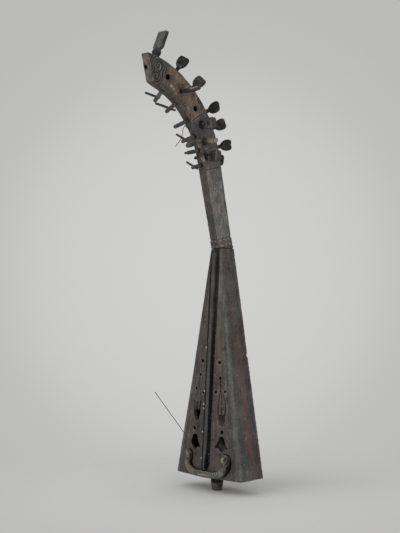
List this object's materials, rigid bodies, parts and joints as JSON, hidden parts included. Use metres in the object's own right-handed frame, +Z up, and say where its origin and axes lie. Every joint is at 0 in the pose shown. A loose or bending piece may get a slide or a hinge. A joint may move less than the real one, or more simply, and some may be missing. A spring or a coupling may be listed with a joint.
{
  "type": "arched harp",
  "caption": "Arched harp: a tapering carved soundbox with a back board and string rib, a leaning arched neck, and turning tuning pegs through its back and sides.",
  "frame": {"origin": "middle of the soundbox's bottom end, above the end button", "axes": "+Z up the harp, -Y the front where the strings stood, +X the harp's right side"},
  "size_m": [0.2145, 0.2735, 1.0356],
  "materials": {
    "body_wood": "dark aged lacquer over carved wood, worn on the edges",
    "rib_wood": "near-black polished wood",
    "neck_wood": "dark brown-grey carved wood, worn",
    "peg_wood": "black turned and carved wood",
    "bare_wood": "pale bare wood, greyed",
    "scroll_wood": "golden-brown carved wood, darkened in the hollows",
    "pin_bone": "pale bone-coloured pins",
    "gut": "dark dried gut"
  },
  "bodies": {
    "harp": {"soundbox": "body_wood", "back_board": "body_wood", "back_board_dowel_1": "bare_wood", "back_board_dowel_2": "bare_wood", "back_board_dowel_3": "bare_wood", "back_board_dowel_4": "bare_wood", "back_board_dowel_5": "bare_wood", "back_board_dowel_6": "bare_wood", "string_rib": "rib_wood", "string_pin_1": "pin_bone", "string_pin_2": "pin_bone", "string_pin_3": "pin_bone", "string_pin_4": "pin_bone", "string_pin_5": "pin_bone", "string_pin_6": "pin_bone", "string_pin_7": "pin_bone", "tail_scroll": "scroll_wood", "end_button": "rib_wood", "neck": "neck_wood", "head_finial": "neck_wood", "string_low": "gut", "string_neck": "gut"},
    "back_peg_1": {"back_peg_1": "peg_wood", "peg_stick_1": "bare_wood"},
    "back_peg_2": {"back_peg_2": "peg_wood", "peg_stick_2": "bare_wood"},
    "back_peg_3": {"back_peg_3": "peg_wood"},
    "back_peg_4": {"back_peg_4": "peg_wood", "peg_stick_4": "bare_wood"},
    "back_peg_5": {"back_peg_5": "peg_wood", "peg_stick_5": "bare_wood"},
    "back_peg_6": {"back_peg_6": "peg_wood", "peg_stick_6": "bare_wood"},
    "side_peg_2": {"side_peg_2": "peg_wood"},
    "side_peg_4": {"side_peg_4": "peg_wood"},
    "side_peg_5": {"side_peg_5": "bare_wood"},
    "side_peg_6": {"side_peg_6": "peg_wood"}
  },
  "joints": [
    {"name": "back_peg_1_turn", "type": "hinge", "parent": "harp", "child": "back_peg_1", "pos_m": [0, -0.173, 0.89239], "axis": [0, -0.657, -0.7539], "continuous": true},
    {"name": "back_peg_2_turn", "type": "hinge", "parent": "harp", "child": "back_peg_2", "pos_m": [0, -0.12913, 0.86357], "axis": [0, -0.7969, -0.6042], "range_deg": [-40, 95]},
    {"name": "back_peg_3_turn", "type": "hinge", "parent": "harp", "child": "back_peg_3", "pos_m": [0, -0.08998, 0.82233], "axis": [0, -0.9146, -0.4043], "continuous": true},
    {"name": "back_peg_4_turn", "type": "hinge", "parent": "harp", "child": "back_peg_4", "pos_m": [0, -0.06864, 0.78785], "axis": [0, -0.9293, -0.3693], "range_deg": [-170, 70]},
    {"name": "back_peg_5_turn", "type": "hinge", "parent": "harp", "child": "back_peg_5", "pos_m": [0, -0.05402, 0.75206], "axis": [0, -0.9783, -0.2072], "continuous": true},
    {"name": "back_peg_6_turn", "type": "hinge", "parent": "harp", "child": "back_peg_6", "pos_m": [0, -0.04598, 0.72007], "axis": [0, -0.9715, -0.2368], "continuous": true},
    {"name": "side_peg_2_turn", "type": "hinge", "parent": "harp", "child": "side_peg_2", "pos_m": [0, -0.145, 0.87295], "axis": [-1, 0, 0], "continuous": true},
    {"name": "side_peg_4_turn", "type": "hinge", "parent": "harp", "child": "side_peg_4", "pos_m": [0, -0.07812, 0.80653], "axis": [-1, 0, 0], "continuous": true},
    {"name": "side_peg_5_turn", "type": "hinge", "parent": "harp", "child": "side_peg_5", "pos_m": [0, -0.06963, 0.76776], "axis": [1, 0, 0], "continuous": true},
    {"name": "side_peg_6_turn", "type": "hinge", "parent": "harp", "child": "side_peg_6", "pos_m": [0, -0.066, 0.73297], "axis": [-1, 0, 0], "continuous": true}
  ]
}
